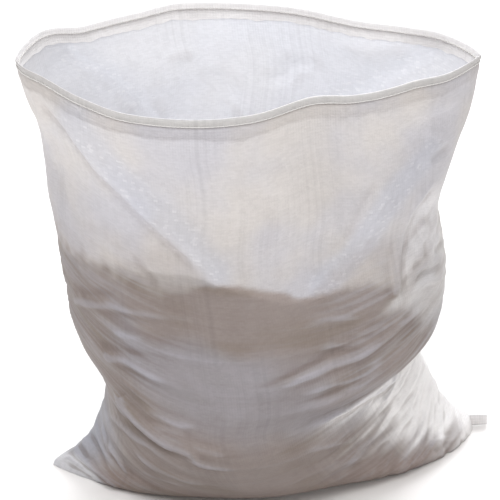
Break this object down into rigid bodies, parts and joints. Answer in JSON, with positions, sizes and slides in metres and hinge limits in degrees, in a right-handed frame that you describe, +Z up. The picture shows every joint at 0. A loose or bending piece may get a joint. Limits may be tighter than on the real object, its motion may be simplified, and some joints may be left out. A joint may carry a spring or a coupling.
{
  "type": "rubble sack",
  "caption": "Open-mouthed woven sack that stands on its own fill of fine rubble, with a hemmed mouth and two ears at its sewn bottom.",
  "frame": {"origin": "middle of the resting base, on the floor", "axes": "+Z up, +X along the mouth from its left corner to its right corner for someone facing the sack, -Y towards that person"},
  "size_m": [0.4945, 0.3535, 0.4552],
  "materials": {
    "woven_cloth": "white woven polypropylene tape, slightly see-through and slightly glossy",
    "fine_rubble": "loose grey-brown grit and small stones",
    "sewing_thread": "white twisted thread"
  },
  "bodies": {
    "root": {"sack": "woven_cloth", "rubble_fill": "fine_rubble", "mouth_hem_thread": "sewing_thread", "base_seam_thread": "sewing_thread"}
  },
  "joints": []
}
